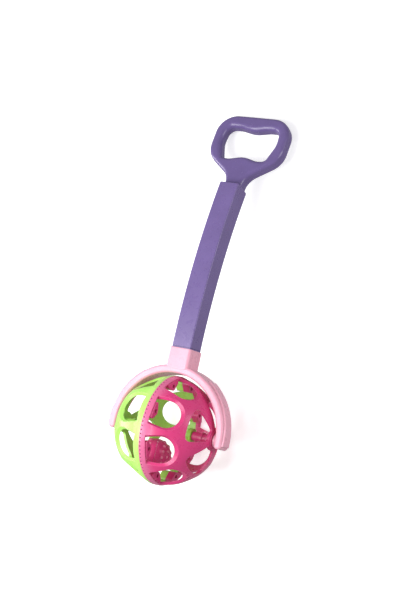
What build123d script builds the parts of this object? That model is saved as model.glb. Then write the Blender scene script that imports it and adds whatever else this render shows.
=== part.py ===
from build123d import *
import os
from math import asin, atan2, cos, degrees, hypot, pi, radians, sin, sqrt

# Toddler push toy: a two-coloured windowed ball that spins in a pink yoke at the end
# of a bowed stick with a D handle, and a bumpy rattle ball loose inside the cage.
# Everything is drawn in the stick frame: origin at the ball's centre, X along the axle,
# Z up the stick at the yoke, and -Y the side that faces up once the toy lies down.
# lay_down() then puts the toy on the floor, on the ball's rim and the handle's end.
# All lengths are in millimetres and all angles in degrees.

# Ball cage
ball_radius = 62.3
ball_wall = 3.2
rim_rise = 1.4
rim_half_width = 3.2
rim_flank_width = 7.3
spigot_thickness = 1.4
spigot_length = 2.0
seat_gap = 0.1
cage_phase = 27.0

# Large windows, eight round each half
side_window_count = 8
side_window_polar = 67.5
side_window_depth_angle = 31.0
side_window_width_angle = 30.2
side_window_lip_angle = 3.35
side_window_crown_lip_angle = 8.0
side_window_corner = 1.2

# Pole windows, four round each hub
pole_window_count = 4
pole_window_margin = 2.0
pole_window_outer_polar = 41.8
pole_window_strut = 12.5
pole_window_corner = 6.0

# Hub and its tube
hub_disc_radius = 10.5
hub_disc_rise = 0.9
hub_tube_wall = 2.1
hub_tube_length = 28.6
hub_band_rise = 0.9
hub_band_width = 2.6

# Pegs that join the halves, one behind each large window
peg_radius = 2.2
peg_length = 4.5
peg_boss_radius = 5.0
peg_boss_length = 9.0
peg_boss_foot = 14.0
peg_inset = 3.3
peg_boss_corner = 3.0

# Grip marks round one rim
mark_count = 84
mark_width = 1.3
mark_length = 1.8
mark_depth = 0.8
mark_from_seam = 1.0

# Axle pins
pin_radius = 3.0
pin_running_gap = 0.08
pin_head_radius = 6.5
pin_head_thickness = 2.5
pin_head_dome = 1.1
pin_head_dimple = 2.4
pin_head_gap = 0.4
pin_tip_chamfer = 0.8

# Yoke
yoke_rim_gap = 2.5
yoke_thickness = 9.5
yoke_leg_depth = 20.0
yoke_crown_depth = 28.4
yoke_leg_drop = 9.5
yoke_edge_fillet = 3.0
yoke_end_fillet = 3.6
pad_rise = 2.2
pad_inset = 2.25
pad_start = 34.0
pad_sink = 1.5
pad_fillet = 1.5
axle_boss_radius = 8.0
axle_boss_gap = 0.5
axle_hole_floor = 2.6
collar_wall = 1.53
collar_corner = 3.6
collar_top_fillet = 1.0
socket_depth = 20.0

# Shaft
shaft_side = 25.5
shaft_corner = 1.8
shaft_wall = 2.4
shaft_bore_corner = 1.6
shaft_visible_length = 204.0
shaft_bend = 15.2
shaft_fit_gap = 0.12
shaft_end_chamfer = 1.0

# Handle
handle_half_width = 49.2
handle_thickness = 17.0
handle_back_shift = 3.0
handle_edge_fillet = 4.6
grip_edge_fillet = 6.0
handle_corner_radius = 25.0
handle_shoulder_radius = 27.0
handle_neck_inset = 1.1
handle_neck_height = 13.5
neck_radius_share = 1.6
handle_shoulder_rise = 3.6
handle_side_band = 12.4
handle_bar_height = 15.8
grip_bottom = 36.9
grip_height = 42.8

# Shares of the hand opening's half width
low_corner_radius_share = 0.163
high_corner_radius_share = 0.245
wave_radius_share = 0.5435
hump_radius_share = 0.815
valley_share = 0.5
low_corner_share = 0.79
high_corner_share = 0.94
crest_share = 0.52

# Shares of the hand opening's height
hump_share = 0.11
low_corner_rise_share = 0.02
widest_share = 0.55
wave_share = 0.085

# Tang
tang_length = 24.0
tang_lead_chamfer = 1.0

# Rattle ball
rattle_rim_gap = 1.0
rattle_hub_gap = 3.9
rattle_wall = 1.8
bump_radius = 2.8
bump_rise = 1.0
bump_pitch = 6.6
smooth_band = 5.5
rattle_seam_gap = 0.1
rattle_shift = -10.0
rattle_angle = 178.0
rattle_yaw = 30.0
bead_radius = 2.8
bead_count = 5
bead_gap = 0.3

# How far a cutter runs past the face it cuts
cut_overrun = 5.0


# Derived places of the cage and its pins
rim_radius = ball_radius + rim_rise
ball_inner_radius = ball_radius - ball_wall
hub_face = sqrt(ball_radius**2 - hub_disc_radius**2) + hub_disc_rise
hub_tube_end = hub_face - hub_tube_length
pin_bore_radius = pin_radius + pin_running_gap
hub_tube_radius = pin_bore_radius + hub_tube_wall
peg_circle_radius = ball_inner_radius - peg_inset

# Derived places of the yoke, the shaft and the handle
yoke_inner_radius = rim_radius + yoke_rim_gap
yoke_outer_radius = yoke_inner_radius + yoke_thickness
axle_boss_face = hub_face + axle_boss_gap
axle_hole_end = yoke_outer_radius - axle_hole_floor
collar_top = yoke_outer_radius + socket_depth + seat_gap
socket_floor = collar_top - socket_depth
socket_side = shaft_side + 2 * shaft_fit_gap
bend_radius = shaft_visible_length / radians(shaft_bend)
bore_side = shaft_side - 2 * shaft_wall
grip_half_width = handle_half_width - handle_side_band
grip_top = grip_bottom + grip_height
handle_top = grip_top + handle_bar_height
handle_shoulder_height = grip_bottom + handle_shoulder_rise
handle_neck_radius = handle_neck_height * neck_radius_share

# The rattle ball fills the room between the pin heads and the peg bosses
peg_boss_reach = peg_circle_radius - peg_boss_radius
rattle_radius = (peg_boss_reach - rattle_rim_gap - pin_head_radius - rattle_hub_gap) / 2
rattle_orbit = peg_boss_reach - rattle_rim_gap - rattle_radius
rattle_base_radius = rattle_radius - bump_rise
rattle_inner_radius = rattle_base_radius - rattle_wall


def on_arc(radius, angle):
    """A point at the angle from +X, counter-clockwise, on a circle about the origin."""
    return (radius * cos(radians(angle)), radius * sin(radians(angle)))


def turned(shape, angle):
    """The shape turned about the axle, so that +Z goes towards -Y."""
    return Rot(X=angle) * shape


def rod(radius, length):
    """A round rod standing on z = 0."""
    return Cylinder(radius, length, align=(Align.CENTER, Align.CENTER, Align.MIN))


def along_axle(shape):
    """Stand a shape that was drawn up +Z along the axle instead."""
    return Rot(Y=90) * shape


def ring_of(shape, count, phase):
    """The shape repeated evenly round the axle."""
    return [turned(shape, phase + k * 360 / count) for k in range(count)]


# Ball cage
def cage_profile(spigot):
    """Half section of one cage half, drawn with X along the axle and Y outward."""
    rim_end = rim_half_width + rim_flank_width
    rim_foot = sqrt(ball_radius**2 - rim_end**2)
    disc_foot = sqrt(ball_radius**2 - hub_disc_radius**2)
    tube_foot = sqrt(ball_inner_radius**2 - hub_tube_radius**2)
    band_out = (hub_tube_end + tube_foot + hub_band_width) / 2
    band_in = band_out - hub_band_width
    band_radius = hub_tube_radius + hub_band_rise
    outer_middle = degrees(atan2(rim_foot + hub_disc_radius, rim_end + disc_foot))
    inner_middle = degrees(atan2(ball_inner_radius + hub_tube_radius, tube_foot))
    outer_mid = on_arc(ball_radius, outer_middle)
    inner_mid = on_arc(ball_inner_radius, inner_middle)
    rim = [(rim_end, rim_foot), (rim_half_width, rim_radius), (0, rim_radius)]
    if spigot:
        seat = ball_inner_radius + spigot_thickness
        rim += [(0, seat), (-spigot_length, seat), (-spigot_length, ball_inner_radius)]
    rim += [(0, ball_inner_radius)]
    tube_and_disc = [
        (tube_foot, hub_tube_radius),
        (band_out, hub_tube_radius),
        (band_out, band_radius),
        (band_in, band_radius),
        (band_in, hub_tube_radius),
        (hub_tube_end, hub_tube_radius),
        (hub_tube_end, pin_bore_radius),
        (hub_face, pin_bore_radius),
        (hub_face, hub_disc_radius),
        (disc_foot, hub_disc_radius),
    ]
    outline = [
        ThreePointArc((disc_foot, hub_disc_radius), outer_mid, (rim_end, rim_foot)),
        Polyline(*rim),
        ThreePointArc((0, ball_inner_radius), inner_mid, (tube_foot, hub_tube_radius)),
        Polyline(*tube_and_disc),
    ]
    return make_face(outline)


def window_outline(half_width, low, crown):
    """A D: straight along the rim, with straight sides and a half-ellipse towards the pole."""
    shoulder = crown - half_width
    body = Pos(0, (low + shoulder) / 2) * Rectangle(2 * half_width, shoulder - low)
    dome = Pos(0, shoulder) * Circle(half_width)
    outline = body + dome
    feet = outline.vertices().sort_by(Axis.Y)[:2]
    return fillet(feet, side_window_corner)


def side_window():
    """The tapered cutter for one large window, in place at ring angle 0."""
    half_angle = radians(side_window_width_angle / 2)
    half_width = ball_radius * sin(half_angle)
    half_depth = ball_radius * sin(radians(side_window_depth_angle / 2))
    inner_level = ball_inner_radius * cos(half_angle)
    slope = ball_radius * radians(side_window_lip_angle) / ball_wall
    crown_slope = ball_radius * radians(side_window_crown_lip_angle) / ball_wall
    under = inner_level - cut_overrun / 2
    over = ball_radius + cut_overrun / 4
    drop = inner_level - under
    rise = over - inner_level
    inner = window_outline(half_width - slope * drop, -half_depth, half_depth - crown_slope * drop)
    outer = window_outline(half_width + slope * rise, -half_depth, half_depth + crown_slope * rise)
    cutter = loft([Pos(Z=under) * inner, Pos(Z=over) * outer])
    # the sketch plane's Y goes towards the pole and its Z away from the ball's centre
    polar = radians(side_window_polar)
    place = Plane(
        origin=(0, 0, 0),
        x_dir=(0, -1, 0),
        z_dir=(cos(polar), 0, sin(polar)),
    )
    return place.location * cutter


def pole_window():
    """The cutter for one pole window, in place at ring angle 0."""
    outer = ball_radius * sin(radians(pole_window_outer_polar))
    inner = hub_disc_radius + pole_window_margin
    half_angle = 180 / pole_window_count - degrees(asin(pole_window_strut / (inner + outer)))
    ring = Circle(outer) - Circle(inner)
    reach = 2 * outer
    wedge = Polyline((0, 0), on_arc(reach, 90 - half_angle), on_arc(reach, 90 + half_angle), close=True)
    outline = ring & make_face(wedge)
    corners = outline.vertices().sort_by_distance((0, 0))
    outline = fillet(corners[2:], pole_window_corner)
    corners = outline.vertices().sort_by_distance((0, 0))
    outline = fillet(corners[:2], pole_window_corner / 2)
    # the sketch plane's Y is +Z, and its normal is the axle
    place = Plane(origin=(0, 0, 0), x_dir=(0, 1, 0), z_dir=(1, 0, 0))
    near = sqrt(ball_inner_radius**2 - outer**2) - cut_overrun
    return place.location * (Pos(Z=near) * extrude(outline, ball_radius + cut_overrun - near))


def peg_boss():
    """One peg boss inside the rim at ring angle 0, wide where it meets the wall."""
    limit = ball_radius - ball_wall / 4
    foot_height = sqrt((limit - peg_boss_corner) ** 2 - (peg_boss_foot / 2) ** 2)
    tip = Pos(0, peg_circle_radius) * Circle(peg_boss_radius)
    feet = [Pos(side * peg_boss_foot / 2, foot_height) * Circle(peg_boss_corner) for side in (-1, 1)]
    outline = make_hull(tip.edges() + feet[0].edges() + feet[1].edges())
    place = Plane(origin=(0, 0, 0), x_dir=(0, 1, 0), z_dir=(1, 0, 0))
    boss = place.location * extrude(outline, peg_boss_length)
    # the sphere's poles lie on the axle, away from the boss
    return boss & along_axle(Sphere(limit))


def cage_half(spigot):
    """One half of the ball on the +X side, with its windows, hub and peg bosses."""
    body = revolve(cage_profile(spigot), Axis.X)
    body -= ring_of(side_window(), side_window_count, cage_phase)
    body -= ring_of(pole_window(), pole_window_count, cage_phase + 360 / side_window_count)
    body += ring_of(peg_boss(), side_window_count, cage_phase)
    if spigot:
        peg = rod(peg_radius, peg_length + peg_boss_length / 2)
        peg = Pos(-peg_length, 0, peg_circle_radius) * along_axle(peg)
        body += ring_of(peg, side_window_count, cage_phase)
    else:
        socket = Circle(ball_inner_radius + spigot_thickness + seat_gap)
        socket -= Circle(ball_inner_radius - seat_gap)
        body -= along_axle(extrude(socket, spigot_length + seat_gap))
        hole = rod(peg_radius + seat_gap, peg_boss_length + 2 * cut_overrun)
        hole = Pos(-cut_overrun, 0, peg_circle_radius) * along_axle(hole)
        body -= ring_of(hole, side_window_count, cage_phase)
        mark = Box(mark_length, mark_width, 2 * mark_depth)
        mark = Pos(mark_from_seam + mark_length / 2, 0, rim_radius) * mark
        body -= ring_of(mark, mark_count, cage_phase)
    return body.solid()


def cage_half_magenta():
    return cage_half(spigot=False)


def cage_half_green():
    return mirror(cage_half(spigot=True), Plane.YZ)


# Axle pins
def axle_pin():
    """A mushroom-headed pin from inside the ball, through the hub tube, into the leg."""
    head_top = hub_tube_end - pin_head_gap
    head_face = head_top - pin_head_thickness
    rim_x = head_face + pin_head_dome
    dimple = head_face + pin_head_dome / 2
    tip = axle_hole_end - seat_gap
    dome_mid = ((head_face + rim_x) / 2 - pin_head_dome / 8, (pin_head_dimple + pin_head_radius) / 2)
    outline = [
        Polyline((tip, 0), (dimple, 0), (dimple, pin_head_dimple / 2), (head_face, pin_head_dimple)),
        ThreePointArc((head_face, pin_head_dimple), dome_mid, (rim_x, pin_head_radius)),
        Polyline(
            (rim_x, pin_head_radius),
            (head_top, pin_head_radius),
            (head_top, pin_radius),
            (tip - pin_tip_chamfer, pin_radius),
            (tip, pin_radius - pin_tip_chamfer),
            (tip, 0),
        ),
    ]
    return revolve(make_face(outline), Axis.X).solid()


# Yoke
def half_ring(inner, outer, start_angle, drop):
    """A band of the arch face, from start_angle off the top down both sides to drop below the axle."""
    reach = 2 * outer
    sides = Circle(outer) - Circle(inner)
    above = Pos(0, reach / 2) * Rectangle(2 * reach, reach)
    ring = sides & above
    if start_angle:
        top = [on_arc(reach, 90 - start_angle), (0, reach), on_arc(reach, 90 + start_angle)]
        ring -= make_face(Polyline((0, 0), *top, close=True))
    middle = (inner + outer) / 2
    legs = [Pos(side * middle, -drop / 2) * Rectangle(outer - inner, drop) for side in (-1, 1)]
    return ring + legs[0] + legs[1]


def off_axle(point):
    """How far out a point of the arch lies, measured from the axle above it and sideways below."""
    return hypot(point.X, max(point.Z, 0))


def leg_pads():
    """The thicker outer face of both legs, with its rounded edges."""
    outer = yoke_outer_radius + pad_rise
    face = half_ring(yoke_outer_radius - pad_sink, outer, pad_start, yoke_leg_drop - yoke_end_fillet)
    pads = extrude(Plane.XZ * face, yoke_leg_depth / 2 - pad_inset, both=True)
    rails = pads.edges().filter_by(lambda e: off_axle(e.center()) > outer - pad_rise / 2)
    return fillet(rails, pad_fillet)


def yoke_arch():
    """The C arch, deeper at the crown than at the leg ends, with all its edges rounded."""
    face = half_ring(yoke_inner_radius, yoke_outer_radius, 0, yoke_leg_drop)
    arch = extrude(Plane.XZ * face, yoke_crown_depth, both=True)
    half_leg = yoke_leg_depth / 2
    half_crown = yoke_crown_depth / 2
    right_side = [(half_leg, -yoke_leg_drop), (half_crown, yoke_outer_radius)]
    left_side = [(-y, z) for y, z in reversed(right_side)]
    side = make_face(Polyline(*right_side, *left_side, close=True))
    body = arch & extrude(Plane.YZ * side, 2 * yoke_outer_radius, both=True)
    ends = body.edges().filter_by(Axis.Y).filter_by(lambda e: e.center().Z < -yoke_leg_drop / 2)
    body = fillet(ends, yoke_end_fillet)
    rails = body.edges().filter_by(lambda e: abs(e.center().Y) > half_leg / 2)
    return fillet(rails, yoke_edge_fillet)


def rounded_bar(side, corner, length):
    """A square bar with rounded corners, standing on z = 0."""
    return extrude(RectangleRounded(side, side, corner), length)


def yoke():
    """The fork that holds the ball, with the collar for the shaft and the axle bosses."""
    collar_foot = yoke_inner_radius + yoke_thickness / 2
    collar_side = socket_side + 2 * collar_wall
    collar = Pos(Z=collar_foot) * rounded_bar(collar_side, collar_corner, collar_top - collar_foot)
    collar = fillet(collar.faces().sort_by(Axis.Z)[-1].edges(), collar_top_fillet)
    body = yoke_arch() + leg_pads() + collar
    boss_length = yoke_inner_radius + yoke_thickness / 2 - axle_boss_face
    boss = Pos(axle_boss_face, 0, 0) * along_axle(rod(axle_boss_radius, boss_length))
    hole = Pos(axle_boss_face, 0, 0) * along_axle(rod(pin_radius, axle_hole_end - axle_boss_face))
    body += [boss, Rot(Z=180) * boss]
    body -= [hole, Rot(Z=180) * hole]
    socket_corner = shaft_corner + shaft_fit_gap
    body -= Pos(Z=socket_floor) * rounded_bar(socket_side, socket_corner, socket_depth + cut_overrun)
    return body.solid()


# Shaft
def bend_to(angle):
    """Where the stick's centre line has turned by this angle above the collar."""
    rise = bend_radius * sin(radians(angle))
    lean = bend_radius * (1 - cos(radians(angle)))
    return Location((0, lean, collar_top + rise), (-angle, 0, 0))


def bent_bar(side, corner):
    """A square bar with rounded corners that follows the shaft's bend."""
    section = Plane.XY * RectangleRounded(side, side, corner)
    axis = Axis((0, bend_radius, 0), (-1, 0, 0))
    return Pos(Z=collar_top) * revolve(section, axis, shaft_bend)


def shaft():
    """A hollow square tube: straight in the collar, then bowed up to the handle."""
    outer = bent_bar(shaft_side, shaft_corner)
    outer += Pos(Z=socket_floor) * rounded_bar(shaft_side, shaft_corner, socket_depth)
    top = outer.faces().sort_by(Axis.Z)[-1]
    outer = fillet(top.edges(), shaft_end_chamfer)
    bore = bent_bar(bore_side, shaft_bore_corner)
    bore += Pos(Z=socket_floor) * rounded_bar(bore_side, shaft_bore_corner, socket_depth)
    return (outer - bore).solid()


# Handle
def handle_outline():
    """The outer outline of the D handle, from the neck up to the top bar."""
    neck = shaft_side / 2 - handle_neck_inset
    right = [
        (neck, 0),
        (neck, handle_neck_height),
        (handle_half_width, handle_shoulder_height),
        (handle_half_width, handle_top),
    ]
    left = [(-x, y) for x, y in reversed(right)]
    radii = [0, handle_neck_radius, handle_shoulder_radius, handle_corner_radius]
    return make_face(FilletPolyline(*right, *left, radius=radii + radii[::-1], close=True))


def grip_outline():
    """The hand opening: finger waves under the top bar and a low hump over the neck."""
    hump = grip_bottom + grip_height * hump_share
    right = [
        (grip_half_width * valley_share, grip_bottom),
        (grip_half_width * low_corner_share, grip_bottom + grip_height * low_corner_rise_share),
        (grip_half_width, grip_bottom + grip_height * widest_share),
        (grip_half_width * high_corner_share, grip_top),
        (grip_half_width * crest_share, grip_top),
    ]
    left = [(-x, y) for x, y in reversed(right)]
    wave_radius = grip_half_width * wave_radius_share
    hump_radius = grip_half_width * hump_radius_share
    low_corner_radius = grip_half_width * low_corner_radius_share
    high_corner_radius = grip_half_width * high_corner_radius_share
    radii = [wave_radius, low_corner_radius, hump_radius, high_corner_radius, wave_radius]
    wave = grip_top - grip_height * wave_share
    points = [(0, hump)] + right + [(0, wave)] + left
    all_radii = [hump_radius] + radii + [hump_radius] + radii[::-1]
    return make_face(FilletPolyline(*points, radius=all_radii, close=True))


def rounded(plate, loop, radius):
    """The plate with one loop of edges rounded on both its faces, but not where it meets the shaft."""
    edges = ShapeList(e for face in plate.faces().filter_by(Axis.Y) for e in loop(face))
    return fillet(edges.filter_by(lambda e: e.center().Z > 0), radius)


def handle():
    """The D handle in one piece with its neck and the tang that fits in the shaft."""
    plate = extrude(Plane.XZ * (handle_outline() - grip_outline()), handle_thickness / 2, both=True)
    plate = rounded(plate, lambda face: face.inner_wires()[0].edges(), grip_edge_fillet)
    plate = rounded(plate, lambda face: face.outer_wire().edges(), handle_edge_fillet)
    tang = rounded_bar(bore_side - 2 * shaft_fit_gap, shaft_bore_corner, tang_length)
    tang = Pos(Z=-tang_length) * chamfer(tang.faces().sort_by(Axis.Z)[0].edges(), tang_lead_chamfer)
    return (bend_to(shaft_bend) * (Pos(Y=handle_back_shift) * plate + tang)).solid()


# Rattle ball
def bump_places():
    """Where the bumps of one shell stand: rings round the pole, as evenly spaced as they fit."""
    step = degrees(bump_pitch / rattle_base_radius)
    band = degrees(asin((smooth_band + bump_radius) / rattle_base_radius))
    ring_count = int((90 - band) / step)
    places = [(0, 0)]
    for ring in range(1, ring_count + 1):
        polar = (90 - band) * ring / ring_count
        around = int(2 * pi * rattle_base_radius * sin(radians(polar)) / bump_pitch)
        places += [(polar, 360 * (k + ring / 2) / around) for k in range(around)]
    return places


def quarter_arc(radius):
    """An arc about the origin, from the seam's height up to the axis."""
    low = rattle_seam_gap / 2
    return ThreePointArc((sqrt(radius**2 - low**2), low), on_arc(radius, 45), (0, radius))


def bump():
    """One bump, a cap of a sphere whose flat foot lies inside the wall of the shell."""
    cap = Pos(Z=rattle_radius - bump_radius) * Sphere(bump_radius)
    return cap & (Pos(Z=rattle_base_radius - rattle_wall / 2) * rod(bump_radius + cut_overrun, 2 * bump_radius))


def rattle_shell():
    """One bumpy half of the rattle ball, open at the seam with its pole up."""
    outer = quarter_arc(rattle_base_radius)
    inner = quarter_arc(rattle_inner_radius)
    section = make_face([outer, Line(outer @ 1, inner @ 1), inner, Line(inner @ 0, outer @ 0)])
    shell = revolve(Plane.XZ * section, Axis.Z)
    shell += [Rot(Z=around) * (Rot(Y=polar) * bump()) for polar, around in bump_places()]
    return shell.solid()


def rattle_place():
    """Where the rattle ball's centre lies and how it is turned, as the toy is shown."""
    angle = radians(rattle_angle)
    centre = (rattle_shift, -rattle_orbit * sin(angle), rattle_orbit * cos(angle))
    return Pos(*centre) * Rot(Z=rattle_yaw) * Rot(Y=90)


def rattle_shell_right():
    return rattle_place() * rattle_shell()


def rattle_shell_left():
    return rattle_place() * (Rot(X=180) * rattle_shell())


def rattle_beads():
    """The loose beads, lying together against the shell's inner wall."""
    seat = rattle_inner_radius - bead_radius - bead_gap
    spread = degrees(2 * asin((bead_radius + bead_gap) / seat))
    bead = Pos(0, seat, 0) * Sphere(bead_radius)
    around = bead_count - 1
    beads = [bead] + [Rot(Y=360 * k / around) * (Rot(X=spread) * bead) for k in range(around)]
    return Compound(children=[rattle_place() * b for b in beads])


# Whole toy
NODES = {
    "handle": handle,
    "shaft": shaft,
    "yoke": yoke,
    "axle_pin_right": axle_pin,
    "axle_pin_left": lambda: Rot(Z=180) * axle_pin(),
    "cage_half_magenta": cage_half_magenta,
    "cage_half_green": cage_half_green,
    "rattle_shell_right": rattle_shell_right,
    "rattle_shell_left": rattle_shell_left,
    "rattle_beads": rattle_beads,
}


def lie_angle():
    """The tilt at which the rim and the back edge of the handle's top bar both touch the floor."""
    back = handle_back_shift + handle_thickness / 2 - handle_edge_fillet
    bar = (bend_to(shaft_bend) * Pos(0, back, handle_top - handle_edge_fillet)).position
    return degrees(asin((rim_radius - handle_edge_fillet) / hypot(bar.Y, bar.Z)) - atan2(bar.Y, bar.Z))


def lay_down(shapes):
    """Every shape laid on the floor, centred over the origin, with the stick along +Y."""
    turn = Rot(X=-90 - lie_angle())
    lying = {name: turn * shape for name, shape in shapes.items()}
    box = Compound(children=[shape.moved(Location()) for shape in lying.values()]).bounding_box()
    shift = Pos(-(box.min.X + box.max.X) / 2, -(box.min.Y + box.max.Y) / 2, -box.min.Z)
    return {name: shift * shape for name, shape in lying.items()}, shift * turn


if __name__ == "__main__":
    os.makedirs("parts", exist_ok=True)
    placed, place = lay_down({name: build() for name, build in NODES.items()})
    for name, shape in placed.items():
        export_step(shape, f"parts/{name}.step")
    grip_centre = bend_to(shaft_bend) * Pos(0, handle_back_shift, (grip_bottom + grip_top) / 2)
    print("ball centre, mm:", place.position)
    print("rattle centre, mm:", (place * rattle_place()).position)
    print("grip centre, mm:", (place * grip_centre).position)
    print("lie angle, degrees:", lie_angle())
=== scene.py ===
from math import radians

import bmesh
import bpy
from bpy.props import FloatProperty, FloatVectorProperty, PointerProperty
from mathutils import Matrix, Quaternion, Vector


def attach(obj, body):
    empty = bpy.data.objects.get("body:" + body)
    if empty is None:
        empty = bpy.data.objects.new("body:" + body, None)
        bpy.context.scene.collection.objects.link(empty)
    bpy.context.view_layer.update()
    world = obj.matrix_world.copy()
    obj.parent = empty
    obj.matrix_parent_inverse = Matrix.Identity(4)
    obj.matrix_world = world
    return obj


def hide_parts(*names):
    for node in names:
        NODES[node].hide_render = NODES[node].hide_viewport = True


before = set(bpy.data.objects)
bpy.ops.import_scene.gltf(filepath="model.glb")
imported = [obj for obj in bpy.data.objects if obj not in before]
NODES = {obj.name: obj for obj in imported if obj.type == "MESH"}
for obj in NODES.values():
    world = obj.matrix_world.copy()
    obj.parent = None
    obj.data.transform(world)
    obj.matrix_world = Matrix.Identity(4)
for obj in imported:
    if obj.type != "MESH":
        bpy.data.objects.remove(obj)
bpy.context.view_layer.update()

bl_info = {
    "name": "Toddler push toy",
    "version": (1, 0, 0),
    "blender": (4, 5, 0),
    "location": "3D View > Sidebar > Push toy",
    "description": "Dresses a caged-ball push toy in moulded plastic and sets its studio",
    "category": "Object",
}

MM = 0.001

# Places of the solids that the dressing needs: the centres of the ball and of the bumpy ball,
# the plane where the handle's moulds parted, and the plane where its neck leaves the stick
BALL_CENTRE = Vector((0.0, -163.023, 63.7)) * MM
RATTLE_CENTRE = Vector((-10.0, -193.099, 64.885)) * MM
GRIP_CENTRE = Vector((0.0, 189.662, 17.046)) * MM
GRIP_PARTING = Vector((0.0, -0.26649, -0.96384))
NECK_FOOT = Vector((0.0, 134.3, 35.5)) * MM
STICK_AT_NECK = Vector((0.0, 0.96384, -0.26649))

# The pin's shank and head as the solid has them, and how much fuller the photograph shows the head
PIN_RADIUS = 3.0 * MM
PIN_HEAD_DEPTH = 2.5 * MM
PIN_HEAD_WIDER = 8.0 / 6.5
PIN_HEAD_DEEPER = 3.5 * MM

# Shares that keep only a distance's part away from the axle, along it, or all of it
AWAY_FROM_AXLE = (0, 1, 1)
ALONG_AXLE = (1, 0, 0)
ALL_ROUND = (1, 1, 1)

# Where the painted details lie, which are painted sheen, painted shade and a painted highlight:
# distances from the axle, the seam and the bumpy ball's centre, and the dark ring's place along the
# stick, each band with half its width
# Painted sheen, a pale haze that grows towards the rim
HAZE_START = 60.0 * MM
HAZE_END = 63.4 * MM
HAZE_SHARE = 0.34
# Painted shade and dirt at the bottom of the grip marks' cuts
MARK_BOTTOM = 63.1 * MM
MARK_BOTTOM_SPREAD = 0.4 * MM
MARK_OFF_SEAM = 1.9 * MM
MARK_HALF_WIDTH = 0.96 * MM
# Painted highlight on the tops of the bumps
BUMP_HIGHLIGHT_START = 18.95 * MM
BUMP_HIGHLIGHT_END = 19.6 * MM
BUMP_HIGHLIGHT_SHARE = 0.75
DIMPLE_RADIUS = 2.3 * MM
# Painted shade: a dark ring that stands in for a fine groove above the collar
GROOVE_PLACE = -65.7 * MM
GROOVE_HALF_WIDTH = 0.4 * MM

# How much of the light that each plastic scatters comes from below its surface
VIOLET_DEPTH = 0.05
PINK_DEPTH = 0.12
MAGENTA_DEPTH = 0.1
GREEN_DEPTH = 0.12
SMALL_GREEN_DEPTH = 0.08

# The clouds run from a little darker to a little paler than the plain colour
CLOUD_DARK = 0.93
CLOUD_PALE = 1.05
# The burnish starts where the rounded surface and the flat one agree less than this
BURNISH_START = 0.985
BURNISH_END = 0.86
BURNISH_SHARE = 0.5
BURNISH_WHITE = 0.25
# Touched places are a third of a cloud's size, and glossier or duller than the plain surface
TOUCHES_PER_CLOUD = 3
GLOSSIER = 0.05
DULLER = 0.09
# The whole handle is rubbed a little glossier than the rest
HANDLE_POLISH = 0.06
# Noise seldom goes past these, so they are the ends of the clouds and of the touched places
NOISE_LOW = 0.3
CLOUD_HIGH = 0.7
TOUCH_HIGH = 0.75
# The relief of the grain, and how far light spreads below the surface
GRAIN_STRENGTH = 0.12
GRAIN_DEPTH = 0.05 * MM
SCATTER_REACH = 3 * MM

# Distances below which points are taken as one, on a skin and along a section of the handle
SKIN_WELD = 0.001 * MM
SECTION_WELD = 0.25 * MM
# Edges that turn by more stay sharp, and above 50 large faces weigh more in the normals
CREASE = radians(30)
FLAT_FACES_WEIGHT = 60
BEAD_SIDES = 6

TABLE_ROUGHNESS = 0.9

# Each softbox: its place in metres, what it faces, its side and the setting of its power
SOFTBOXES = (
    ("key_light", (-0.33, -0.3, 0.85), BALL_CENTRE, 0.65, "key_power"),
    ("fill_light", (1.25, 0.35, 0.22), BALL_CENTRE / 2, 0.7, "fill_power"),
    ("panel_light", (-1.15, -0.15, 0.35), BALL_CENTRE, 0.6, "panel_power"),
)


def linear(code):
    """A hex colour such as #FF8800, as the linear red, green and blue that Blender works in."""
    channels = [int(code[i:i + 2], 16) / 255 for i in (1, 3, 5)]
    return tuple(c / 12.92 if c <= 0.04045 else ((c + 0.055) / 1.055) ** 2.4 for c in channels)


def colour(name, description, code):
    """A colour setting, whose default is a hex colour."""
    return FloatVectorProperty(
        name=name, description=description, default=linear(code), subtype="COLOR",
        size=3, min=0, max=1,
    )


def length_mm(name, description, size):
    """A length setting, whose default is given in millimetres."""
    return FloatProperty(
        name=name, description=description, default=size * MM, min=0, precision=5,
        subtype="DISTANCE", unit="LENGTH",
    )


def power(name, description, watts):
    """The setting of a light's power."""
    return FloatProperty(name=name, description=description, default=watts, min=0, unit="POWER")


class ToyColours(bpy.types.PropertyGroup):
    violet: colour("Violet", "Stick", "#726097")
    grip_violet: colour("Grip violet", "Handle, a little deeper than the stick", "#6C5B91")
    pink: colour("Pink", "Fork and the pale axle pin", "#EEABC0")
    magenta: colour("Magenta", "Right half of the ball and the bumpy ball", "#D63B7B")
    green: colour("Green", "Left half of the ball and the beads", "#AAE268")
    pin_green: colour("Pin green", "Right axle pin", "#A2DE58")
    pin_dimple: colour("Pin dimple", "Shade in the dimple of the pin's head", "#3C7416")
    # Painted shade and dirt at the bottom of the grip marks
    mark: colour("Grip marks", "Bottom of the small marks along the rim", "#A12C63")
    # Painted highlight on the tops of the bumpy ball's bumps
    bump_top_highlight: colour("Bump tops", "Rubbed tops of the bumpy ball's bumps", "#F49AB8")
    # Painted sheen on the rims of the two halves
    magenta_rim_sheen: colour("Rolled magenta", "Scuffed haze on the magenta rim", "#F8A6CB")
    green_rim_sheen: colour("Rolled green", "Scuffed haze on the green rim", "#C4EA84")
    # Painted shade: a dark ring that stands in for a fine groove above the collar
    groove_shade: colour("Groove", "Ring round the stick just above the collar", "#4E4170")


class ToyFinish(bpy.types.PropertyGroup):
    edge_radius: length_mm("Edge radius", "How far the light sees moulded edges rounded", 0.7)
    grain: length_mm("Grain", "Size of the fine grain left by the mould", 1.1)
    mottle: length_mm("Mottle", "Size of the faint cloudiness in the colour", 26)
    parting_width: length_mm("Parting line", "Width of the line where two moulds met", 0.45)
    gloss: FloatProperty(
        name="Roughness", description="Roughness of the plastic", default=0.28, min=0, max=1
    )


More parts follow.
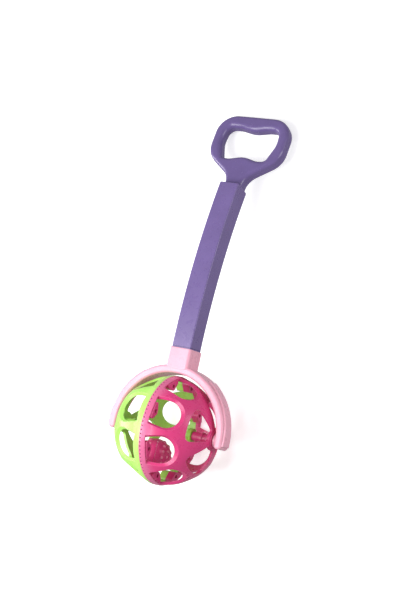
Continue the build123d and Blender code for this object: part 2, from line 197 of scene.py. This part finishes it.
class Studio(bpy.types.PropertyGroup):
    camera_place: FloatVectorProperty(
        name="Camera", description="Where the camera stands",
        default=(0.92366, -0.19086, 1.686), subtype="TRANSLATION", unit="LENGTH", size=3,
    )
    camera_turn: FloatVectorProperty(
        name="Camera turn", description="How the camera is turned, as a quaternion",
        default=(0.961637, 0.074121, 0.247986, 0.090898), subtype="QUATERNION", size=4,
    )
    lens: FloatProperty(name="Lens", description="Focal length, mm", default=96.806, min=1)
    floor_size: length_mm("Floor", "Side of the floor", 12000)
    table_colour: colour("Table", "Opal acrylic of the floor", "#F4F4F4")
    key_power: power("Key light", "Power of the softbox overhead", 9)
    fill_power: power("Fill light", "Power of the softbox on the right", 7.5)
    panel_power: power("Panel light", "Power of the low softbox on the left", 7.2)
    world: FloatProperty(
        name="World", description="Strength of the light from all round", default=0.45, min=0
    )
    table_glow: FloatProperty(
        name="Table glow", description="Light that comes up through the table", default=0.5, min=0
    )


# Materials
def add(tree, kind, settings=None, values=None, links=None):
    """Adds one shader node with its settings, its fixed inputs and the sockets that feed it."""
    node = tree.nodes.new(kind)
    for name, value in (settings or {}).items():
        setattr(node, name, value)
    for name, value in (values or {}).items():
        node.inputs[name].default_value = value
    for name, source in (links or {}).items():
        tree.links.new(source, node.inputs[name])
    return node


def tinted(rgb, factor):
    """The colour made darker or paler by the factor, and opaque."""
    return tuple(min(1.0, c * factor) for c in rgb) + (1.0,)


def reach_from(tree, place, centre, share):
    """How far each point lies from the centre, along the directions that the share keeps."""
    outward = add(
        tree, "ShaderNodeVectorMath", {"operation": "SUBTRACT"}, {1: centre}, {0: place}
    )
    kept = add(
        tree, "ShaderNodeVectorMath", {"operation": "MULTIPLY"}, {1: share},
        {0: outward.outputs[0]},
    )
    reach = add(
        tree, "ShaderNodeVectorMath", {"operation": "LENGTH"}, links={0: kept.outputs[0]}
    )
    return reach.outputs["Value"]


def hazed(tree, base, rgb, value, start, end, share):
    """The base colour under a haze of another, which grows smoothly from the start to the end."""
    haze = add(
        tree, "ShaderNodeMapRange", {"interpolation_type": "SMOOTHSTEP"},
        {"From Min": start, "From Max": end, "To Max": share}, {"Value": value},
    )
    mix = add(
        tree, "ShaderNodeMix", {"data_type": "RGBA"}, {7: (*rgb, 1.0)},
        {0: haze.outputs[0], 6: base},
    )
    return mix.outputs[2]


def marked(tree, base, rgb, *bands):
    """The base colour, and another one where each value is within half a width of its middle."""
    cover = None
    for value, middle, half_width in bands:
        within = add(
            tree, "ShaderNodeMath", {"operation": "COMPARE"},
            {1: middle, 2: half_width}, {0: value},
        )
        if cover is not None:
            within = add(
                tree, "ShaderNodeMath", {"operation": "MULTIPLY"},
                links={0: cover, 1: within.outputs[0]},
            )
        cover = within.outputs[0]
    mix = add(
        tree, "ShaderNodeMix", {"data_type": "RGBA"}, {7: (*rgb, 1.0)}, {0: cover, 6: base}
    )
    return mix.outputs[2]


def rim_sheen(tree, place, base, rgb):
    """A painted sheen: a pale haze that grows towards the rim."""
    out_from_axle = reach_from(tree, place, BALL_CENTRE, AWAY_FROM_AXLE)
    return hazed(tree, base, rgb, out_from_axle, HAZE_START, HAZE_END, HAZE_SHARE)


def green_rim(tree, place, base):
    """The painted sheen on the rim of the green half, which has no grip marks."""
    return rim_sheen(tree, place, base, bpy.context.scene.toy_colours.green_rim_sheen)


def magenta_rim(tree, place, base):
    """The painted sheen on the rim, and the grip marks sunk along it, with painted shade and dirt
    at the bottom of their cuts.
    """
    colours = bpy.context.scene.toy_colours
    base = rim_sheen(tree, place, base, colours.magenta_rim_sheen)
    out_from_axle = reach_from(tree, place, BALL_CENTRE, AWAY_FROM_AXLE)
    off_seam = reach_from(tree, place, BALL_CENTRE, ALONG_AXLE)
    return marked(
        tree, base, colours.mark,
        (out_from_axle, MARK_BOTTOM, MARK_BOTTOM_SPREAD),
        (off_seam, MARK_OFF_SEAM, MARK_HALF_WIDTH),
    )


def highlighted_bump_tops(tree, place, base):
    """The tops of the bumps, made paler by a painted highlight."""
    reach = reach_from(tree, place, RATTLE_CENTRE, ALL_ROUND)
    bump_top_highlight = bpy.context.scene.toy_colours.bump_top_highlight
    return hazed(tree, base, bump_top_highlight, reach, BUMP_HIGHLIGHT_START, BUMP_HIGHLIGHT_END, BUMP_HIGHLIGHT_SHARE)


def dimpled_head(tree, place, base):
    """The dimple in the middle of the pin's head, which lies in its own shade."""
    out_from_axle = reach_from(tree, place, BALL_CENTRE, AWAY_FROM_AXLE)
    shade = bpy.context.scene.toy_colours.pin_dimple
    return marked(tree, base, shade, (out_from_axle, 0.0, DIMPLE_RADIUS))


def groove_over_collar(tree, place, base):
    """The fine dark ring round the tube, a millimetre above the fork's collar: painted shade that
    stands in for a groove.
    """
    along = add(tree, "ShaderNodeSeparateXYZ", links={0: place}).outputs["Y"]
    groove_shade = bpy.context.scene.toy_colours.groove_shade
    return marked(tree, base, groove_shade, (along, GROOVE_PLACE, GROOVE_HALF_WIDTH))


def clouded(tree, place, rgb, size):
    """The colour with the faint clouds that uneven pigment and an uneven wall give it."""
    clouds = add(
        tree, "ShaderNodeTexNoise",
        values={"Scale": 1 / size, "Detail": 3.0, "Roughness": 0.55}, links={"Vector": place},
    )
    spread = add(
        tree, "ShaderNodeMapRange", values={"From Min": NOISE_LOW, "From Max": CLOUD_HIGH},
        links={"Value": clouds.outputs["Fac"]},
    )
    mix = add(
        tree, "ShaderNodeMix", {"data_type": "RGBA"},
        {6: tinted(rgb, CLOUD_DARK), 7: tinted(rgb, CLOUD_PALE)}, {0: spread.outputs[0]},
    )
    return mix.outputs[2]


def burnished(tree, base, rgb, rounded):
    """The base colour, a little paler along the small radius of moulded edges."""
    flat = add(tree, "ShaderNodeNewGeometry")
    agree = add(
        tree, "ShaderNodeVectorMath", {"operation": "DOT_PRODUCT"},
        links={0: rounded.outputs[0], 1: flat.outputs["Normal"]},
    )
    edge = add(
        tree, "ShaderNodeMapRange",
        values={"From Min": BURNISH_START, "From Max": BURNISH_END, "To Max": BURNISH_SHARE},
        links={"Value": agree.outputs["Value"]},
    )
    paler = [c * (1 - BURNISH_WHITE) + BURNISH_WHITE for c in rgb]
    mix = add(
        tree, "ShaderNodeMix", {"data_type": "RGBA"}, {7: (*paler, 1.0)},
        {0: edge.outputs[0], 6: base},
    )
    return mix.outputs[2]


def handled(tree, place, gloss, size):
    """The roughness, a little duller in some places than in others from being handled."""
    touched = add(
        tree, "ShaderNodeTexNoise",
        values={"Scale": TOUCHES_PER_CLOUD / size, "Detail": 4.0, "Roughness": 0.65},
        links={"Vector": place},
    )
    dull = add(
        tree, "ShaderNodeMapRange",
        values={
            "From Min": NOISE_LOW, "From Max": TOUCH_HIGH,
            "To Min": gloss - GLOSSIER, "To Max": gloss + DULLER,
        },
        links={"Value": touched.outputs["Fac"]},
    )
    return dull.outputs[0]


def moulded_plastic(name, rgb, depth, paint=None, polish=0.0):
    """Injection-moulded polypropylene or acetal: satin gloss, faint clouds in the colour, a fine
    mould grain and edges that catch the light because they are slightly rounded."""
    finish = bpy.context.scene.toy_finish
    material = bpy.data.materials.new(name)
    material.use_nodes = True
    tree = material.node_tree
    tree.nodes.clear()
    place = add(tree, "ShaderNodeTexCoord").outputs["Object"]
    base = clouded(tree, place, rgb, finish.mottle)
    if paint:
        base = paint(tree, place, base)
    rounded = add(tree, "ShaderNodeBevel", {"samples": 4}, {"Radius": finish.edge_radius})
    # The grain is drawn coarser than a spark-eroded mould's 0.1 mm so that it shows
    grain = add(
        tree, "ShaderNodeTexNoise",
        values={"Scale": 1 / finish.grain, "Detail": 2.0, "Roughness": 0.6},
        links={"Vector": place},
    )
    relief = add(
        tree, "ShaderNodeBump", values={"Strength": GRAIN_STRENGTH, "Distance": GRAIN_DEPTH},
        links={"Height": grain.outputs["Fac"], "Normal": rounded.outputs[0]},
    )
    shader = add(
        tree, "ShaderNodeBsdfPrincipled",
        values={
            "IOR": 1.49,
            "Subsurface Weight": depth,
            "Subsurface Radius": (1.0, 0.6, 0.6),
            "Subsurface Scale": SCATTER_REACH,
        },
        links={
            "Base Color": burnished(tree, base, rgb, rounded),
            "Roughness": handled(tree, place, finish.gloss - polish, finish.mottle),
            "Normal": relief.outputs[0],
        },
    )
    add(tree, "ShaderNodeOutputMaterial", links={"Surface": shader.outputs[0]})
    return material


# Pieces
def merged(node):
    """The node's mesh as one connected skin."""
    bm = bmesh.new()
    bm.from_mesh(NODES[node].data)
    bmesh.ops.remove_doubles(bm, verts=bm.verts, dist=SKIN_WELD)
    return bm


def as_mesh(bm, name):
    """The finished shape as a mesh of that name."""
    mesh = bpy.data.meshes.new(name)
    bm.to_mesh(mesh)
    bm.free()
    return mesh


def placed(mesh, piece, body, material):
    """The mesh as a piece of the scene that rides on its body."""
    made = bpy.data.objects.new(piece, mesh)
    bpy.context.scene.collection.objects.link(made)
    mesh.materials.clear()
    mesh.materials.append(material)
    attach(made, body)
    return made


def fuller_head(bm):
    """Gives the green pin's head the width and the depth that the photograph shows."""
    inner_end = min(vert.co.x for vert in bm.verts)
    slack = 0.1 * MM
    for vert in bm.verts:
        out = vert.co - Vector((vert.co.x, BALL_CENTRE.y, BALL_CENTRE.z))
        from_end = vert.co.x - inner_end
        if from_end < PIN_HEAD_DEPTH + slack and out.length > PIN_RADIUS + slack:
            vert.co += out * (PIN_HEAD_WIDER - 1)
        if from_end < PIN_HEAD_DEPTH / 2:
            vert.co.x -= PIN_HEAD_DEEPER


def dressed(node, piece, body, material, reshape=None):
    """The node's own shape as one smooth skin that stays sharp along its moulded edges."""
    bm = merged(node)
    if reshape:
        reshape(bm)
    mesh = as_mesh(bm, piece)
    # Normals that came with the CAD mesh would override the smooth shading
    if "custom_normal" in mesh.attributes:
        mesh.attributes.remove(mesh.attributes["custom_normal"])
    mesh.shade_smooth()
    mesh.set_sharp_from_angle(angle=CREASE)
    made = placed(mesh, piece, body, material)
    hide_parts(node)
    weighted = made.modifiers.new("Weighted normals", "WEIGHTED_NORMAL")
    weighted.keep_sharp = True
    weighted.weight = FLAT_FACES_WEIGHT


def runs(bm):
    """A section's wire edges, walked into ordered runs of points; True marks a closed run."""
    # A dict keeps the edges in order, so that the walk starts at the same place each run
    left = dict.fromkeys(bm.edges)
    ends = [v for v in bm.verts if len(v.link_edges) == 1]
    while left:
        vert = next((v for v in ends if v.link_edges[0] in left), None) or next(iter(left)).verts[0]
        walk = [vert]
        edge = next(e for e in vert.link_edges if e in left)
        while edge:
            del left[edge]
            walk.append(edge.other_vert(walk[-1]))
            edge = next((e for e in walk[-1].link_edges if e in left), None)
        closed = walk[0] == walk[-1]
        yield [v.co.copy() for v in (walk[:-1] if closed else walk)], closed


def bead_along(bm, points, closed, normal, radius):
    """A thin round bead that follows a flat run of points."""
    count = len(points)
    rings = []
    for k, point in enumerate(points):
        before = points[k - 1] if closed or k else point
        after = points[(k + 1) % count] if closed or k < count - 1 else point
        along = (after - before).normalized()
        across = Matrix((normal, along.cross(normal), along)).transposed().to_4x4()
        ring = bmesh.ops.create_circle(
            bm, cap_ends=not closed and k in (0, count - 1), radius=radius, segments=BEAD_SIDES,
            matrix=Matrix.Translation(point) @ across,
        )["verts"]
        rings.append(dict.fromkeys(edge for vert in ring for edge in vert.link_edges))
    pairs = list(zip(rings, rings[1:])) + ([(rings[-1], rings[0])] if closed else [])
    for first, second in pairs:
        bmesh.ops.bridge_loops(bm, edges=[*first, *second])


def cut(bm, point, normal, **cleared):
    """Cuts the shape along a plane and clears away the sides that are asked for."""
    geometry = bm.verts[:] + bm.edges[:] + bm.faces[:]
    bmesh.ops.bisect_plane(bm, geom=geometry, plane_co=point, plane_no=normal, **cleared)


def handle_parting_line(material):
    """The fine raised line that the two mould halves leave round the handle, outside the stick."""
    section = merged("handle")
    cut(section, NECK_FOOT, STICK_AT_NECK, clear_inner=True)
    cut(section, GRIP_CENTRE, GRIP_PARTING, clear_inner=True, clear_outer=True)
    bmesh.ops.remove_doubles(section, verts=section.verts, dist=SECTION_WELD)
    bm = bmesh.new()
    radius = bpy.context.scene.toy_finish.parting_width / 2
    for points, closed in runs(section):
        if len(points) > 3:
            bead_along(bm, points, closed, GRIP_PARTING, radius)
    section.free()
    bmesh.ops.recalc_face_normals(bm, faces=bm.faces)
    mesh = as_mesh(bm, "handle_parting_line")
    mesh.shade_smooth()
    placed(mesh, "handle_parting_line", "stick", material)


class TOY_OT_handle(bpy.types.Operator):
    """Dresses the D handle and draws the line where its moulds parted"""
    bl_idname = "toy.handle"
    bl_label = "D handle"

    def execute(self, context):
        violet = moulded_plastic(
            "violet polypropylene handle", context.scene.toy_colours.grip_violet,
            VIOLET_DEPTH, polish=HANDLE_POLISH,
        )
        dressed("handle", "d_handle", "stick", violet)
        handle_parting_line(violet)
        return {"FINISHED"}


class TOY_OT_shaft(bpy.types.Operator):
    """Dresses the bowed square tube"""
    bl_idname = "toy.shaft"
    bl_label = "Bowed stick"

    def execute(self, context):
        violet = moulded_plastic(
            "violet polypropylene tube", context.scene.toy_colours.violet,
            VIOLET_DEPTH, groove_over_collar,
        )
        dressed("shaft", "bowed_stick", "stick", violet)
        return {"FINISHED"}


class TOY_OT_yoke(bpy.types.Operator):
    """Dresses the fork that holds the ball"""
    bl_idname = "toy.yoke"
    bl_label = "Fork"

    def execute(self, context):
        pink = moulded_plastic(
            "pale pink polypropylene", context.scene.toy_colours.pink, PINK_DEPTH
        )
        dressed("yoke", "fork", "stick", pink)
        return {"FINISHED"}


class TOY_OT_axle_pins(bpy.types.Operator):
    """Dresses the two domed pins that the ball turns on"""
    bl_idname = "toy.axle_pins"
    bl_label = "Axle pins"

    def execute(self, context):
        colours = context.scene.toy_colours
        green = moulded_plastic(
            "green acetal pin", colours.pin_green, SMALL_GREEN_DEPTH, dimpled_head
        )
        pale = moulded_plastic("pale pink acetal pin", colours.pink, PINK_DEPTH)
        dressed(
            "axle_pin_right", "axle_pin_green", "stick", green,
            reshape=fuller_head,
        )
        dressed("axle_pin_left", "axle_pin_pale", "stick", pale)
        return {"FINISHED"}


class TOY_OT_cage(bpy.types.Operator):
    """Dresses the two windowed halves of the ball"""
    bl_idname = "toy.cage"
    bl_label = "Ball"

    def execute(self, context):
        colours = context.scene.toy_colours
        magenta = moulded_plastic(
            "magenta polypropylene", colours.magenta, MAGENTA_DEPTH, magenta_rim
        )
        green = moulded_plastic("green polypropylene", colours.green, GREEN_DEPTH, green_rim)
        dressed("cage_half_magenta", "ball_half_magenta", "cage", magenta)
        dressed("cage_half_green", "ball_half_green", "cage", green)
        return {"FINISHED"}


class TOY_OT_rattle_ball(bpy.types.Operator):
    """Dresses the bumpy ball inside the cage and the beads inside it"""
    bl_idname = "toy.rattle_ball"
    bl_label = "Bumpy ball"

    def execute(self, context):
        colours = context.scene.toy_colours
        magenta = moulded_plastic(
            "magenta bumpy ball", colours.magenta, MAGENTA_DEPTH, highlighted_bump_tops
        )
        for side in ("right", "left"):
            dressed(
                "rattle_shell_" + side, "bumpy_half_" + side, "rattle_ball",
                magenta,
            )
        beads = moulded_plastic("green bead", colours.green, SMALL_GREEN_DEPTH)
        dressed("rattle_beads", "loose_beads", "beads", beads)
        return {"FINISHED"}


# Studio
def light_table(studio):
    """A floor of opal acrylic that glows a little, so that shadows on it stay pale."""
    bm = bmesh.new()
    bmesh.ops.create_grid(bm, x_segments=1, y_segments=1, size=studio.floor_size / 2)
    floor = bpy.data.objects.new("floor", as_mesh(bm, "floor"))
    bpy.context.scene.collection.objects.link(floor)
    acrylic = bpy.data.materials.new("opal acrylic light table")
    acrylic.use_nodes = True
    surface = acrylic.node_tree.nodes["Principled BSDF"]
    surface.inputs["Base Color"].default_value = (*studio.table_colour, 1.0)
    surface.inputs["Roughness"].default_value = TABLE_ROUGHNESS
    surface.inputs["Emission Color"].default_value = (1, 1, 1, 1)
    surface.inputs["Emission Strength"].default_value = studio.table_glow
    floor.data.materials.append(acrylic)
    # The white table neither lights the toy nor shows in its gloss, as in the photograph
    floor.visible_diffuse = False
    floor.visible_glossy = False


def softbox(name, place, target, side, watts):
    """A square soft light that faces the target."""
    light = bpy.data.lights.new(name, "AREA")
    light.shape = "SQUARE"
    light.size = side
    light.energy = watts
    lamp = bpy.data.objects.new(name, light)
    bpy.context.scene.collection.objects.link(lamp)
    lamp.location = place
    lamp.rotation_mode = "QUATERNION"
    lamp.rotation_quaternion = (Vector(target) - Vector(place)).to_track_quat("-Z", "Y")


def white_wall(studio):
    """The wall behind the table is seen white, but lights the toy less than it looks."""
    world = bpy.data.worlds.new("white studio")
    world.use_nodes = True
    seen = add(world.node_tree, "ShaderNodeLightPath").outputs["Is Camera Ray"]
    strength = add(
        world.node_tree, "ShaderNodeMapRange", values={"To Min": studio.world, "To Max": 1.0},
        links={"Value": seen},
    )
    background = world.node_tree.nodes["Background"]
    background.inputs["Color"].default_value = (1, 1, 1, 1)
    world.node_tree.links.new(strength.outputs[0], background.inputs["Strength"])
    bpy.context.scene.world = world


class TOY_OT_studio(bpy.types.Operator):
    """Sets the pale floor, the soft lights and the camera"""
    bl_idname = "toy.studio"
    bl_label = "Studio"

    def execute(self, context):
        scene = context.scene
        studio = scene.toy_studio
        light_table(studio)
        for name, place, target, side, setting in SOFTBOXES:
            softbox(name, place, target, side, getattr(studio, setting))
        white_wall(studio)
        camera = bpy.data.objects.new("camera", bpy.data.cameras.new("camera"))
        scene.collection.objects.link(camera)
        camera.data.lens = studio.lens
        camera.rotation_mode = "QUATERNION"
        camera.location = studio.camera_place
        camera.rotation_quaternion = Quaternion(studio.camera_turn).normalized()
        scene.camera = camera
        scene.view_settings.view_transform = "Standard"
        return {"FINISHED"}


class TOY_PT_panel(bpy.types.Panel):
    """Lists the toy's pieces, colours and studio settings"""
    bl_label = "Push toy"
    bl_idname = "TOY_PT_panel"
    bl_space_type = "VIEW_3D"
    bl_region_type = "UI"
    bl_category = "Push toy"

    def draw(self, context):
        for setting in GROUPS:
            group = getattr(context.scene, setting)
            box = self.layout.box()
            for name in group.__annotations__:
                box.prop(group, name)
        for operator in OPERATORS:
            self.layout.operator(operator.bl_idname)


OPERATORS = (
    TOY_OT_studio,
    TOY_OT_handle,
    TOY_OT_shaft,
    TOY_OT_yoke,
    TOY_OT_axle_pins,
    TOY_OT_cage,
    TOY_OT_rattle_ball,
)
GROUPS = {"toy_colours": ToyColours, "toy_finish": ToyFinish, "toy_studio": Studio}
CLASSES = (*GROUPS.values(), *OPERATORS, TOY_PT_panel)


def register():
    for made in CLASSES:
        bpy.utils.register_class(made)
    for name, group in GROUPS.items():
        setattr(bpy.types.Scene, name, PointerProperty(type=group))


def unregister():
    for name in GROUPS:
        delattr(bpy.types.Scene, name)
    for made in reversed(CLASSES):
        bpy.utils.unregister_class(made)


def main():
    register()
    bpy.ops.toy.studio()
    bpy.ops.toy.handle()
    bpy.ops.toy.shaft()
    bpy.ops.toy.yoke()
    bpy.ops.toy.axle_pins()
    bpy.ops.toy.cage()
    bpy.ops.toy.rattle_ball()


if __name__ == "__main__":
    main()
